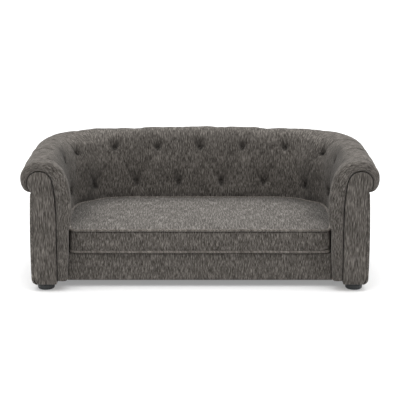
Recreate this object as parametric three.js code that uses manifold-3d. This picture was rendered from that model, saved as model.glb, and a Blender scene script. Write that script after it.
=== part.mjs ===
// Dog bed built as a small rolled-arm tub sofa: a wooden base and wall frame, tufted padding that
// rolls over the arms and back, upholstered panels, a loose piped seat cushion with a zipped cover,
// and four round feet. Millimetres, +Z up, front at -Y. The origin is on the floor, under the centre.
import * as THREE from "three";
import { mergeVertices } from "three/addons/utils/BufferGeometryUtils.js";
import Module from "manifold-3d";

const wasm = await Module();
wasm.setup();

// Driving dimensions.
const DEPTH = 595;
const ROLL_LINE_X = 467; // half distance between the arm rolls' centre lines
const ROLL_RADIUS = 50;
const CORNER_RADIUS = 170; // of the roll's centre line, in plan
const FOOT_HEIGHT = 20;
const FOOT_RADIUS = 25;
const DECK_TOP = 104;
const DECK_THICKNESS = 12;
const ROLL_UNDERSIDE = 294;
const ARM_CREST = 383;
const CORNER_CREST = 387;
const BACK_CREST = 395;
const GAP = 0.3; // between touching pieces

const FRONT_Y = -DEPTH / 2;
const ROLL_LINE_Y = DEPTH / 2 - ROLL_RADIUS;
const CORNER_X = ROLL_LINE_X - CORNER_RADIUS;
const CORNER_Y = ROLL_LINE_Y - CORNER_RADIUS;

// The wall's layers, as distances outwards from the roll's centre line.
const OUTSIDE_FACE = 27;
const OUTSIDE_THICKNESS = 4;
const POST_OUTER = OUTSIDE_FACE - OUTSIDE_THICKNESS - GAP;
const POST_INNER = -7;
const FOAM_BACK = -9;
const CREST_OFFSET = -9;
const WALL_INSET = 64; // inner face of the padding at seat height, round the back
const ARM_FRONT_INSET = 82; // and at the front of each arm
const ARM_FLARE = 237; // length over which the arm's inner face moves from one to the other
const CORNER_FILL = 34; // extra padding in the rear corners
const FILL_REACH = 215;
const PADDING_START = 5; // plan distances from the front of the arm
const BAND_END = 56; // how far the padding reaches down past the seat deck
const PANEL_DEPTH = 13.7;
const PANEL_CORNER = 15; // radius of the arm front's lower outer corner
const FRONT_BOARD_THICKNESS = 13.4;

// Plan line under the roll, from the front of the left arm, round the back, to the front of the right arm.
const tubLine = new THREE.Path()
  .moveTo(-ROLL_LINE_X, FRONT_Y)
  .lineTo(-ROLL_LINE_X, CORNER_Y)
  .absarc(-CORNER_X, CORNER_Y, CORNER_RADIUS, Math.PI, Math.PI / 2, true)
  .lineTo(CORNER_X, ROLL_LINE_Y)
  .absarc(CORNER_X, CORNER_Y, CORNER_RADIUS, Math.PI / 2, 0, true)
  .lineTo(ROLL_LINE_X, FRONT_Y);
const ARM_LENGTH = CORNER_Y - FRONT_Y;
const CORNER_LENGTH = (CORNER_RADIUS * Math.PI) / 2;
const TUB_LENGTH = 2 * (ARM_LENGTH + CORNER_LENGTH + CORNER_X);
const CORNER_MIDDLE = ARM_LENGTH + CORNER_LENGTH / 2;
const BACK_START = ARM_LENGTH + CORNER_LENGTH;

// Tufts: distances along the tub line from the middle of the back, and heights.
const UPPER_TUFTS = [0, 137, 274, 515, 660];
const LOWER_TUFTS = [68.5, 205.5, 385, 600, 735];
const UPPER_TUFT_Z = 334;
const LOWER_TUFT_Z = 220;
const TUFT_DEPTH = 20;
const TUFT_RADIUS = 9;
const BUTTON_RADIUS = 7.5;
const BUTTON_HEIGHT = 6;

// Seat cushion.
const CUSHION_GAP = 7;
const CUSHION_FRONT_Y = FRONT_Y + 48;
const CUSHION_FRONT_RADIUS = 30;
const CUSHION_BOTTOM = DECK_TOP + GAP;
const CUSHION_TOP = 178;
const CUSHION_CHAMFER = 7;
const COVER_THICKNESS = 2;
const PIPING_RADIUS = 3.7;
const PIPING_STAND_OFF = 2.5; // from the cushion's side to the cord's centre line
const ZIP_HALF_LENGTH = 200;
const ZIP_Z = (CUSHION_BOTTOM + CUSHION_TOP) / 2;
const ZIP_TAPE_WIDTH = 24;
const ZIP_TAPE_THICKNESS = 0.8;
const ZIP_SLIDER_X = 190;

// Base frame.
const RAIL_BOTTOM = FOOT_HEIGHT + 1.8;
const RAIL_TOP = DECK_TOP - DECK_THICKNESS - GAP;
const BASE_EDGE = POST_INNER - GAP; // the base's edge, as a distance outwards from the roll's centre line
const LOW_EDGE_ROOM = 4; // kept free inside the outside panels, whose covering turns under the base
const POST_BOTTOM = 32;
const RAIL_OUTER = ROLL_LINE_X + BASE_EDGE;
const RAIL_THICKNESS = 30;
const FRONT_RAIL_Y = FRONT_Y + 60;
const FRONT_RAIL_THICKNESS = 18;
const FRONT_BLOCK_BACK = FRONT_Y + 106;
const TOP_RAIL_HEIGHT = 35;
const FRONT_FOOT = { x: 455, y: FRONT_Y + 39.5 };
const REAR_FOOT = { x: 400, y: 188 };
const BOLT_RADIUS = 4;
const BOLT_CLEARANCE = 0.4;

const standard = (color, roughness, metalness = 0) =>
  new THREE.MeshStandardMaterial({ color, roughness, metalness });
const fabric = standard(0x5b5854, 0.95);
const foam = standard(0xd9d2b8, 0.9);
const timber = standard(0xb98f5d, 0.7);
const plywood = standard(0xc9a877, 0.75);
const dustCloth = standard(0x1c1c1e, 0.95);
const plastic = standard(0x26282a, 0.4);
const steel = standard(0x9a9da0, 0.35, 1);
const zipMetal = standard(0x4a4d50, 0.4, 1);

const dogBed = new THREE.Group();

function addPart(name, geometry, material) {
  const mesh = new THREE.Mesh(geometry, material);
  mesh.name = name;
  dogBed.add(mesh);
  return mesh;
}

// A left-hand part and its mirror image. Left is -X, as seen from the front.
function addPair(name, geometry, material) {
  addPart(`left_${name}`, geometry, material);
  addPart(`right_${name}`, geometry, material).scale.x = -1;
}

// ---- Solids -------------------------------------------------------------------------------------

function toSolid(geometry) {
  const bare = new THREE.BufferGeometry();
  bare.setAttribute("position", geometry.getAttribute("position").clone());
  if (geometry.index) bare.setIndex(geometry.index.clone());
  const merged = mergeVertices(bare, 1e-3);
  return new wasm.Manifold(
    new wasm.Mesh({
      numProp: 3,
      vertProperties: merged.attributes.position.array,
      triVerts: new Uint32Array(merged.index.array),
    }),
  );
}

function fromSolid(solid) {
  const { vertProperties, triVerts } = solid.getMesh();
  const geometry = new THREE.BufferGeometry();
  geometry.setAttribute("position", new THREE.BufferAttribute(vertProperties, 3));
  geometry.setIndex(new THREE.BufferAttribute(triVerts, 1));
  return geometry;
}

const cut = (geometry, ...tools) =>
  fromSolid(tools.reduce((rest, tool) => rest.subtract(toSolid(tool)), toSolid(geometry)));

const join = (geometry, ...others) =>
  fromSolid(others.reduce((sum, other) => sum.add(toSolid(other)), toSolid(geometry)));

// A box from its lowest and highest corners.
function box([x0, y0, z0], [x1, y1, z1]) {
  return new THREE.BoxGeometry(x1 - x0, y1 - y0, z1 - z0).translate(
    (x0 + x1) / 2,
    (y0 + y1) / 2,
    (z0 + z1) / 2,
  );
}

// An upright round bar from z0 to z1.
function upright(x, y, radius, z0, z1, sides = 12) {
  return new THREE.CylinderGeometry(radius, radius, z1 - z0, sides)
    .rotateX(Math.PI / 2)
    .translate(x, y, (z0 + z1) / 2);
}

// A plan outline extruded upwards.
const extrudeUp = (shape, z0, z1, options = {}) =>
  new THREE.ExtrudeGeometry(shape, { depth: z1 - z0, bevelEnabled: false, curveSegments: 8, ...options })
    .translate(0, 0, z0);

// An outline drawn in x and z, extruded from y0 back to y1.
const extrudeBack = (shape, y0, y1, options = {}) =>
  new THREE.ExtrudeGeometry(shape, { depth: y1 - y0, bevelEnabled: false, curveSegments: 6, ...options })
    .rotateX(Math.PI / 2)
    .translate(0, y1, 0);

// A closed skin over rings of points, for a section that changes along the way. The first and last
// rings are filled in, by triangles worked out on a flat copy of a ring. Rings run anticlockwise,
// looking back from the last ring to the first.
function loft(rings, flatRing) {
  const size = rings[0].length;
  const index = [];
  for (let start = 0; start < (rings.length - 1) * size; start += size) {
    for (let i = 0; i < size; i++) {
      const [a, b] = [start + i, start + ((i + 1) % size)];
      index.push(a, b, b + size, a, b + size, a + size);
    }
  }
  const last = (rings.length - 1) * size;
  for (const [a, b, c] of THREE.ShapeUtils.triangulateShape(flatRing, [])) {
    index.push(a, c, b, last + a, last + b, last + c);
  }
  return new THREE.BufferGeometry().setFromPoints(rings.flat()).setIndex(index);
}

// ---- The tub line and what is swept along it ----------------------------------------------------

// The point at a distance along the tub line, moved outwards by n and up to z.
function tubPoint(distance, n, z) {
  const u = distance / TUB_LENGTH;
  const at = tubLine.getPointAt(u);
  const along = tubLine.getTangentAt(u);
  return new THREE.Vector3(at.x - along.y * n, at.y + along.x * n, z);
}

const fromFront = (distance) => Math.min(distance, TUB_LENGTH - distance);

// How far the padding's inner face stands inside the tub line at seat height.
function innerInset(distance) {
  const q = fromFront(distance);
  const flare = THREE.MathUtils.smoothstep(q, 0, ARM_FLARE);
  const reach = Math.min(Math.abs(q - CORNER_MIDDLE) / FILL_REACH, 1);
  const fill = CORNER_FILL * Math.cos((reach * Math.PI) / 2) ** 2;
  return THREE.MathUtils.lerp(ARM_FRONT_INSET, WALL_INSET, flare) + fill;
}

// The roll's highest line climbs gently from the arms' fronts to the middle of the back.
function crestHeight(distance) {
  const q = fromFront(distance);
  if (q < CORNER_MIDDLE) return THREE.MathUtils.lerp(ARM_CREST, CORNER_CREST, q / CORNER_MIDDLE);
  const climb = (q - CORNER_MIDDLE) / (TUB_LENGTH / 2 - CORNER_MIDDLE);
  return THREE.MathUtils.lerp(CORNER_CREST, BACK_CREST, climb);
}

const FACE_BEND_Z = 270; // where the inner face starts to lean back into the roll
const FACE_POWER = 2.5;

// The inner face's distance inside the tub line at a height, for a given inset and crest.
function faceInset(inset, crest, z) {
  const rise = THREE.MathUtils.clamp((z - FACE_BEND_Z) / (crest - FACE_BEND_Z), 0, 1);
  return -CREST_OFFSET + (inset + CREST_OFFSET) * (1 - rise ** FACE_POWER) ** (1 / FACE_POWER);
}

// The padding's section: up the inner face, over the crest, round the roll and down the back of the foam.
function paddingSection(distance, base) {
  const inset = innerInset(distance);
  const crest = crestHeight(distance);
  const rollZ = crest - ROLL_RADIUS;
  const lowerRadius = (rollZ - ROLL_UNDERSIDE) / Math.sin(THREE.MathUtils.degToRad(50));
  const outline = [[-inset, base], [-inset, FACE_BEND_Z]];
  for (const rise of [0.3, 0.5, 0.68, 0.82, 0.92, 0.98]) {
    const z = FACE_BEND_Z + rise * (crest - FACE_BEND_Z);
    outline.push([-faceInset(inset, crest, z), z]);
  }
  outline.push([CREST_OFFSET, crest]);
  for (const degrees of [72, 48, 24, 0, -25, -50]) {
    const angle = THREE.MathUtils.degToRad(degrees);
    const height = degrees > 0 ? ROLL_RADIUS : lowerRadius;
    outline.push([ROLL_RADIUS * Math.cos(angle), rollZ + height * Math.sin(angle)]);
  }
  outline.push([FOAM_BACK, ROLL_UNDERSIDE], [FOAM_BACK, base]);
  return outline;
}

// Sweeps a section, a function of distance that gives [outwards, height] pairs, along the tub line.
// Sections run clockwise, so they are turned round to give faces that look outwards.
function sweep(distances, section) {
  const turned = (distance) => section(distance).reverse();
  const rings = distances.map((distance) => turned(distance).map(([n, z]) => tubPoint(distance, n, z)));
  const flat = turned(distances[0]).map(([n, z]) => new THREE.Vector2(n, z));
  return loft(rings, flat);
}

const evenly = (start, end, steps) =>
  Array.from({ length: steps + 1 }, (_, i) => start + ((end - start) * i) / steps);

const layer = (inner, outer, z0, z1) => () => [[inner, z0], [inner, z1], [outer, z1], [outer, z0]];

// ---- Arm fronts ---------------------------------------------------------------------------------

// The scroll-shaped outline of the left arm's front panel, in x and z, grown by a margin. Its lower
// outer corner is round.
function scrollOutline(grow) {
  const x = -ROLL_LINE_X;
  const [inner, outer, shoulder, top] = [x + 48 + grow, x - 20 - grow, x - 33 - grow, 359 + grow];
  const bottom = FOOT_HEIGHT - grow;
  return new THREE.Shape()
    .moveTo(outer + PANEL_CORNER, bottom)
    .lineTo(inner, bottom)
    .lineTo(inner, 220)
    .bezierCurveTo(inner, 262, inner - 3, 300, inner - 10, 330)
    .bezierCurveTo(inner - 16, 350, x + 18, top, x + 2, top)
    .bezierCurveTo(x - 16, top, shoulder, 345, shoulder, 326)
    .bezierCurveTo(shoulder, 312, outer - 7, 300, outer, ROLL_UNDERSIDE)
    .lineTo(outer, bottom + PANEL_CORNER)
    .absarc(outer + PANEL_CORNER, bottom + PANEL_CORNER, PANEL_CORNER, Math.PI, 1.5 * Math.PI, false);
}

const boardFront = FRONT_Y + PANEL_DEPTH + GAP;
const boardBack = boardFront + FRONT_BOARD_THICKNESS;
const PANEL_BEVEL = 3;

function armFrontPanel() {
  const bevel = {
    bevelEnabled: true,
    bevelThickness: PANEL_BEVEL,
    bevelSize: PANEL_BEVEL,
    bevelOffset: -PANEL_BEVEL,
    bevelSegments: 2,
  };
  return extrudeBack(scrollOutline(0), FRONT_Y + PANEL_BEVEL, FRONT_Y + PANEL_DEPTH - PANEL_BEVEL, bevel);
}

addPair("arm_front_panel", armFrontPanel(), fabric);
addPair("arm_front_board", extrudeBack(scrollOutline(-3), boardFront, boardBack), plywood);

// ---- Tufts and buttons --------------------------------------------------------------------------

// Where a tuft's button sits: the point on the padding's inner face and the way that face looks.
function tuftSeat(fromMiddle, z) {
  const distance = TUB_LENGTH / 2 + fromMiddle;
  const inset = (height) => faceInset(innerInset(distance), crestHeight(distance), height);
  const point = tubPoint(distance, -inset(z), z);
  const above = tubPoint(distance, -inset(z + 1), z + 1);
  const sideways = tubPoint(distance, 0, z).sub(tubPoint(distance, 1, z));
  const upward = above.sub(point).normalize();
  const normal = sideways.addScaledVector(upward, -sideways.dot(upward)).normalize();
  return { point, normal };
}

// A round tool or piece, made along +Y from the origin, set into a tuft at a depth under the face.
function seatInTuft(geometry, { point, normal }, depth) {
  const turn = new THREE.Quaternion().setFromUnitVectors(new THREE.Vector3(0, 1, 0), normal);
  const origin = point.clone().addScaledVector(normal, -depth);
  return geometry.applyQuaternion(turn).translate(origin.x, origin.y, origin.z);
}

// The hollow is a little wider at its mouth.
function tuftHollow(seat) {
  const tool = new THREE.CylinderGeometry(TUFT_RADIUS + 5, TUFT_RADIUS, TUFT_DEPTH + 10, 10);
  return seatInTuft(tool.translate(0, (TUFT_DEPTH + 10) / 2, 0), seat, TUFT_DEPTH);
}

function tuftButton(seat) {
  const profile = [
    [0, 0],
    [BUTTON_RADIUS - 1, 0],
    [BUTTON_RADIUS, BUTTON_HEIGHT * 0.3],
    [BUTTON_RADIUS * 0.7, BUTTON_HEIGHT * 0.85],
    [0, BUTTON_HEIGHT],
  ];
  const button = new THREE.LatheGeometry(profile.map(([r, y]) => new THREE.Vector2(r, y)), 10);
  return seatInTuft(button, seat, TUFT_DEPTH - GAP);
}

// The tufts of both rows from left to right, as distances from the middle and heights.
const tuftRow = (places, z) =>
  places
    .flatMap((place) => (place ? [-place, place] : [0]))
    .sort((a, b) => a - b)
    .map((fromMiddle) => ({ fromMiddle, seat: tuftSeat(fromMiddle, z) }));
const tufts = {
  upper: tuftRow(UPPER_TUFTS, UPPER_TUFT_Z),
  lower: tuftRow(LOWER_TUFTS, LOWER_TUFT_Z),
};

for (const [row, places] of Object.entries(tufts)) {
  places.forEach(({ seat }, i) => {
    addPart(`${row}_tuft_button_${String(i + 1).padStart(2, "0")}`, tuftButton(seat), fabric);
  });
}

const hollowsWhere = (wanted) =>
  [...tufts.upper, ...tufts.lower]
    .filter(({ fromMiddle }) => wanted(fromMiddle))
    .map(({ seat }) => tuftHollow(seat));

// ---- Padding ------------------------------------------------------------------------------------

function armPadding() {
  const distances = [
    PADDING_START,
    BAND_END,
    ...evenly(90, ARM_LENGTH - 40, 4),
    ...evenly(ARM_LENGTH - 15, BACK_START - GAP / 2, 10),
  ];
  const whole = sweep(distances, (distance) => paddingSection(distance, RAIL_BOTTOM));
  const bandBack = FRONT_Y + BAND_END;
  const deckZone = box([-600, bandBack, 0], [0, 400, DECK_TOP + GAP]);
  const blockZone = box([-600, boardBack + GAP, 0], [-ROLL_LINE_X + 46, bandBack + 1, DECK_TOP + GAP]);
  const panelZone = extrudeBack(scrollOutline(0.5), FRONT_Y - 10, boardBack + GAP);
  return cut(whole, deckZone, blockZone, panelZone, ...hollowsWhere((place) => place < -CORNER_X));
}

function backPadding() {
  const distances = evenly(BACK_START + GAP / 2, TUB_LENGTH - BACK_START - GAP / 2, 10);
  const whole = sweep(distances, (distance) => paddingSection(distance, DECK_TOP + GAP));
  return cut(whole, ...hollowsWhere((place) => Math.abs(place) < CORNER_X));
}

addPair("arm_padding", armPadding(), fabric);
addPart("back_padding", backPadding(), fabric);

// ---- Outside panels -----------------------------------------------------------------------------

const outsideLayer = layer(OUTSIDE_FACE - OUTSIDE_THICKNESS, OUTSIDE_FACE, FOOT_HEIGHT, ROLL_UNDERSIDE - GAP);
const outsideArmLine = [PADDING_START, ...evenly(ARM_LENGTH, BACK_START - GAP / 2, 9)];
addPair("outside_arm_panel", sweep(outsideArmLine, outsideLayer), fabric);
const outsideBackLine = [BACK_START + GAP / 2, TUB_LENGTH - BACK_START - GAP / 2];
addPart("outside_back_panel", sweep(outsideBackLine, outsideLayer), fabric);

// ---- Wall frame ---------------------------------------------------------------------------------

const topRailZ = ROLL_UNDERSIDE - GAP - TOP_RAIL_HEIGHT;
const topRail = layer(POST_INNER, POST_OUTER, topRailZ, ROLL_UNDERSIDE - GAP);
const armRailLine = [boardBack - FRONT_Y + GAP, ...evenly(ARM_LENGTH, BACK_START - GAP, 9)];
addPair("arm_top_rail", sweep(armRailLine, topRail), timber);
addPart("back_top_rail", sweep([BACK_START, TUB_LENGTH - BACK_START], topRail), timber);

const POST_WIDTH = 40;
const rearPost = box(
  [-ROLL_LINE_X - POST_OUTER, CORNER_Y - POST_WIDTH, POST_BOTTOM],
  [-ROLL_LINE_X - POST_INNER, CORNER_Y, topRailZ - GAP],
);
addPair("rear_post", rearPost, timber);

// ---- Base frame ---------------------------------------------------------------------------------

const boltHole = ({ x, y }) => upright(-x, y, BOLT_RADIUS + BOLT_CLEARANCE, -1, 80);
const railInner = RAIL_OUTER - RAIL_THICKNESS;
const backRailOuter = ROLL_LINE_Y + BASE_EDGE;
const backRailInner = backRailOuter - RAIL_THICKNESS;

const frontBlock = box(
  [-ROLL_LINE_X - POST_OUTER + LOW_EDGE_ROOM, boardBack + GAP, RAIL_BOTTOM],
  [-railInner, FRONT_BLOCK_BACK, RAIL_TOP],
);
addPair("front_corner_block", cut(frontBlock, boltHole(FRONT_FOOT)), timber);

const sideRail = box(
  [-RAIL_OUTER, FRONT_BLOCK_BACK + GAP, RAIL_BOTTOM],
  [-railInner, CORNER_Y - GAP, RAIL_TOP],
);
addPair("side_rail", sideRail, timber);

// A fat block that fills the round rear corner between the side rail and the back rail.
function rearBlock() {
  const outline = new THREE.Shape()
    .moveTo(-railInner + 30, CORNER_Y)
    .lineTo(-CORNER_X, backRailInner - 30)
    .lineTo(-CORNER_X, backRailOuter)
    .absarc(-CORNER_X, CORNER_Y, CORNER_RADIUS + BASE_EDGE, Math.PI / 2, Math.PI, false);
  return cut(extrudeUp(outline, RAIL_BOTTOM, RAIL_TOP), boltHole(REAR_FOOT));
}
addPair("rear_corner_block", rearBlock(), timber);

const backRail = box(
  [-CORNER_X + GAP, backRailInner, RAIL_BOTTOM],
  [CORNER_X - GAP, backRailOuter, RAIL_TOP],
);
addPart("back_rail", backRail, timber);

const frontRail = box(
  [-railInner + GAP, FRONT_RAIL_Y, RAIL_BOTTOM],
  [railInner - GAP, FRONT_RAIL_Y + FRONT_RAIL_THICKNESS, RAIL_TOP],
);
addPart("front_rail", frontRail, timber);

// A plan outline with round rear corners, at a distance outwards from the roll's centre line.
function basePlan(outwards, frontY) {
  const radius = CORNER_RADIUS + outwards;
  return new THREE.Shape()
    .moveTo(-ROLL_LINE_X - outwards, frontY)
    .lineTo(ROLL_LINE_X + outwards, frontY)
    .lineTo(ROLL_LINE_X + outwards, CORNER_Y)
    .absarc(CORNER_X, CORNER_Y, radius, 0, Math.PI / 2, false)
    .lineTo(-CORNER_X, ROLL_LINE_Y + outwards)
    .absarc(-CORNER_X, CORNER_Y, radius, Math.PI / 2, Math.PI, false);
}

const deckPlan = basePlan(BASE_EDGE, FRONT_RAIL_Y);
addPart("seat_deck", extrudeUp(deckPlan, DECK_TOP - DECK_THICKNESS, DECK_TOP), plywood);

function dustCover() {
  const plan = basePlan(POST_OUTER - 2 * LOW_EDGE_ROOM, boardBack + GAP);
  const sheet = extrudeUp(plan, FOOT_HEIGHT + GAP, RAIL_BOTTOM - GAP);
  const railRecess = box([-ROLL_LINE_X + 46, -400, 0], [ROLL_LINE_X - 46, FRONT_RAIL_Y, 40]);
  const holes = [FRONT_FOOT, REAR_FOOT].flatMap(({ x, y }) => [boltHole({ x, y }), boltHole({ x: -x, y })]);
  return cut(sheet, railRecess, ...holes);
}
addPart("dust_cover", dustCover(), dustCloth);

const RAIL_COVER_THICKNESS = 10;
const RAIL_COVER_REACH = 1.5; // past the line of the arm fronts' inner faces, as the arms flare
const railCoverFront = FRONT_RAIL_Y - GAP - RAIL_COVER_THICKNESS;
const railCover = box(
  [-ROLL_LINE_X + ARM_FRONT_INSET - RAIL_COVER_REACH, railCoverFront, FOOT_HEIGHT],
  [ROLL_LINE_X - ARM_FRONT_INSET + RAIL_COVER_REACH, FRONT_RAIL_Y - GAP, DECK_TOP],
);
addPart("front_rail_cover", railCover, fabric);

// ---- Feet ---------------------------------------------------------------------------------------

const BOLT_BOTTOM = 6;
const BOLT_TOP = 62;

function foot({ x, y }) {
  const profile = [
    [0, 0],
    [FOOT_RADIUS - 6, 0],
    [FOOT_RADIUS - 2.5, 2.5],
    [FOOT_RADIUS - 0.5, 8],
    [FOOT_RADIUS, 14],
    [FOOT_RADIUS, FOOT_HEIGHT],
    [0, FOOT_HEIGHT],
  ];
  const bun = new THREE.LatheGeometry(profile.map(([r, z]) => new THREE.Vector2(r, z)), 24)
    .rotateX(Math.PI / 2)
    .translate(-x, y, 0);
  const socket = upright(-x, y, BOLT_RADIUS + BOLT_CLEARANCE, BOLT_BOTTOM - 1, FOOT_HEIGHT + 1);
  return cut(bun, socket);
}

for (const [place, position] of Object.entries({ front: FRONT_FOOT, rear: REAR_FOOT })) {
  addPair(`${place}_foot`, foot(position), plastic);
  addPair(`${place}_foot_bolt`, upright(-position.x, position.y, BOLT_RADIUS, BOLT_BOTTOM, BOLT_TOP), steel);
}

// ---- Seat cushion -------------------------------------------------------------------------------

// The cushion's plan outline, pulled in by an inset: it follows the padding round the back and has
// small round corners at the front.
function cushionOutline(inset) {
  const start = CUSHION_FRONT_Y - FRONT_Y + CUSHION_FRONT_RADIUS;
  const points = evenly(start, TUB_LENGTH - start, 40).map((distance) => {
    const at = tubPoint(distance, -innerInset(distance) - CUSHION_GAP - inset, 0);
    return new THREE.Vector2(at.x, at.y);
  });
  const x = -points[0].x;
  const y = CUSHION_FRONT_Y + inset;
  const radius = CUSHION_FRONT_RADIUS - inset;
  const corner = (sign) =>
    evenly(Math.PI / 8, Math.PI / 2, 3).map(
      (angle) =>
        new THREE.Vector2(
          sign * (x - radius + radius * Math.cos(angle)),
          y + radius - radius * Math.sin(angle),
        ),
    );
  return [...corner(-1).reverse(), ...points, ...corner(1)];
}

const ringAt = (outline, z) => outline.map(({ x, y }) => new THREE.Vector3(x, y, z));

// A block with the cushion's outline and chamfered top and bottom edges.
function cushionBlock(inset, chamfer) {
  const side = cushionOutline(inset).reverse();
  const face = cushionOutline(inset + chamfer).reverse();
  const [bottom, top] = [CUSHION_BOTTOM + inset, CUSHION_TOP - inset];
  const rings = [
    ringAt(face, bottom),
    ringAt(side, bottom + chamfer),
    ringAt(side, top - chamfer),
    ringAt(face, top),
  ];
  return loft(rings, face);
}

const cushionBackY = ROLL_LINE_Y - WALL_INSET - CUSHION_GAP;

function cushionCover() {
  const shell = cushionBlock(0, CUSHION_CHAMFER);
  const hollow = cushionBlock(COVER_THICKNESS, CUSHION_CHAMFER);
  const zipSlot = box(
    [-ZIP_HALF_LENGTH + 6, cushionBackY - 6, ZIP_Z - 3],
    [ZIP_HALF_LENGTH - 6, cushionBackY + 6, ZIP_Z + 3],
  );
  return cut(shell, hollow, zipSlot);
}
addPart("cushion_cover", cushionCover(), fabric);
addPart("cushion_foam", cushionBlock(COVER_THICKNESS + GAP, CUSHION_CHAMFER), foam);

// A plan outline as a curve at one height, met at each of its points in turn.
class OutlineCurve extends THREE.Curve {
  constructor(outline, z) {
    super();
    this.points = ringAt(outline, z);
  }

  getPoint(t) {
    const place = t * (this.points.length - 1);
    const i = Math.min(Math.floor(place), this.points.length - 2);
    return this.points[i].clone().lerp(this.points[i + 1], place - i);
  }

  // Steps along the curve fall on the outline's own points instead of being evenly spaced.
  getUtoTmapping(u) {
    return u;
  }
}

// A cord along the cushion's edge, outside the chamfer. Its ends meet in the middle of the back.
function piping(height) {
  const outline = cushionOutline(-PIPING_STAND_OFF);
  const middle = (outline.length - 1) / 2; // of the back
  const start = outline[middle].clone().add(new THREE.Vector2(GAP, 0));
  const end = outline[middle].clone().sub(new THREE.Vector2(GAP, 0));
  const path = [start, ...outline.slice(middle + 1), ...outline.slice(0, middle), end];
  const section = new THREE.Shape().absarc(0, 0, PIPING_RADIUS, 0, 2 * Math.PI, false);
  return new THREE.ExtrudeGeometry(section, {
    steps: path.length - 1,
    curveSegments: 3,
    extrudePath: new OutlineCurve(path, height),
  });
}
addPart("cushion_top_piping", piping(CUSHION_TOP - PIPING_RADIUS), fabric);
addPart("cushion_bottom_piping", piping(CUSHION_BOTTOM + PIPING_RADIUS), fabric);

// ---- Zip ----------------------------------------------------------------------------------------

const tapeFace = cushionBackY + GAP + ZIP_TAPE_THICKNESS;
const zipTape = box(
  [-ZIP_HALF_LENGTH, cushionBackY + GAP, ZIP_Z - ZIP_TAPE_WIDTH / 2],
  [ZIP_HALF_LENGTH, tapeFace, ZIP_Z + ZIP_TAPE_WIDTH / 2],
);
addPart("cushion_zip_tape", zipTape, dustCloth);

const SLIDER = { width: 10, height: 9, thickness: 2 };
const PEG_RADIUS = 1.1;
const PULL = { radius: 2.8, hole: 1.6, length: 18, thickness: 0.8 };
const PEG_LENGTH = PULL.thickness + 1.1;
const sliderFace = tapeFace + GAP + SLIDER.thickness;

function zipSlider() {
  const body = box(
    [ZIP_SLIDER_X - SLIDER.width / 2, tapeFace + GAP, ZIP_Z - SLIDER.height / 2],
    [ZIP_SLIDER_X + SLIDER.width / 2, sliderFace, ZIP_Z + SLIDER.height / 2],
  );
  const peg = new THREE.CylinderGeometry(PEG_RADIUS, PEG_RADIUS, PEG_LENGTH + 0.5, 10).translate(
    ZIP_SLIDER_X,
    sliderFace + (PEG_LENGTH - 0.5) / 2,
    ZIP_Z,
  );
  return join(body, peg);
}
addPart("zip_slider", zipSlider(), zipMetal);

function zipPull() {
  const outline = new THREE.Shape()
    .absarc(ZIP_SLIDER_X, ZIP_Z, PULL.radius, 0, Math.PI, false)
    .lineTo(ZIP_SLIDER_X - PULL.radius + 0.6, ZIP_Z - PULL.length)
    .lineTo(ZIP_SLIDER_X + PULL.radius - 0.6, ZIP_Z - PULL.length);
  outline.holes.push(new THREE.Path().absarc(ZIP_SLIDER_X, ZIP_Z, PULL.hole, 0, 2 * Math.PI, false));
  return extrudeBack(outline, sliderFace + GAP, sliderFace + GAP + PULL.thickness);
}
addPart("zip_pull", zipPull(), zipMetal);

export default dogBed;
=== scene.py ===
# Looks of a dog bed built as a small button-tufted tub sofa: one run of tufted padding over the arms
# and back, upholstered panels, a piped seat cushion and round feet. Metres, front at -Y, +Z up.
import math

import bmesh
import bpy
import numpy as np
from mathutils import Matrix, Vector


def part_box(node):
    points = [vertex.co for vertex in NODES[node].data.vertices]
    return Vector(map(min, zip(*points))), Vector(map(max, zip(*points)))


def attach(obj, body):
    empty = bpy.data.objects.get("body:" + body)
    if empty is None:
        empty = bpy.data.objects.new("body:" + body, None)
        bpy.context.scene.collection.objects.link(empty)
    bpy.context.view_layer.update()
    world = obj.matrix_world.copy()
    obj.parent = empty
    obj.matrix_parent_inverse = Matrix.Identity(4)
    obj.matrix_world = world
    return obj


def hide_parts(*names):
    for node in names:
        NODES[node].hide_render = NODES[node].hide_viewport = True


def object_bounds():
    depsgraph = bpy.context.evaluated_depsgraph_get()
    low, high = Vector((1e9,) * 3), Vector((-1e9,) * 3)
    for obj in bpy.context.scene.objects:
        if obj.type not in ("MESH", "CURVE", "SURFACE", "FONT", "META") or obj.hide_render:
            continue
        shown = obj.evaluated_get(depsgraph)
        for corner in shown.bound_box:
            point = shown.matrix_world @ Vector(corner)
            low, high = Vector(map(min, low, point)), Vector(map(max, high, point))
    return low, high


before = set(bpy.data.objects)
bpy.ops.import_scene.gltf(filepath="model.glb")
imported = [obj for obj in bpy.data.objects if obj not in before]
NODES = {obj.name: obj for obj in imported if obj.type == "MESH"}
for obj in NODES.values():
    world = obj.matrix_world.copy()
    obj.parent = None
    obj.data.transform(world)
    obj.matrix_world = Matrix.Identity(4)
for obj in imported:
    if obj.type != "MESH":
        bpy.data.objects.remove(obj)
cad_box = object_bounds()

MM = 0.001


def mm(*lengths):
    """Lengths in millimetres as metres."""
    return [length * MM for length in lengths]


# ---- Camera ----

CAMERA_PITCH = math.radians(13)  # looking down
CAMERA_PLACE = (0, -4.0839, 1.1505)
CAMERA_LENS = 121.05  # mm, on a sensor 36 mm wide

camera = bpy.data.objects.new("camera", bpy.data.cameras.new("camera"))
camera.data.sensor_width = 36
camera.data.lens = CAMERA_LENS
camera.data.clip_end = 200
camera.location = CAMERA_PLACE
camera.rotation_euler = (math.pi / 2 - CAMERA_PITCH, 0, 0)
bpy.context.scene.collection.objects.link(camera)
bpy.context.scene.camera = camera

# ---- Sizes taken from the frame ----

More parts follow.
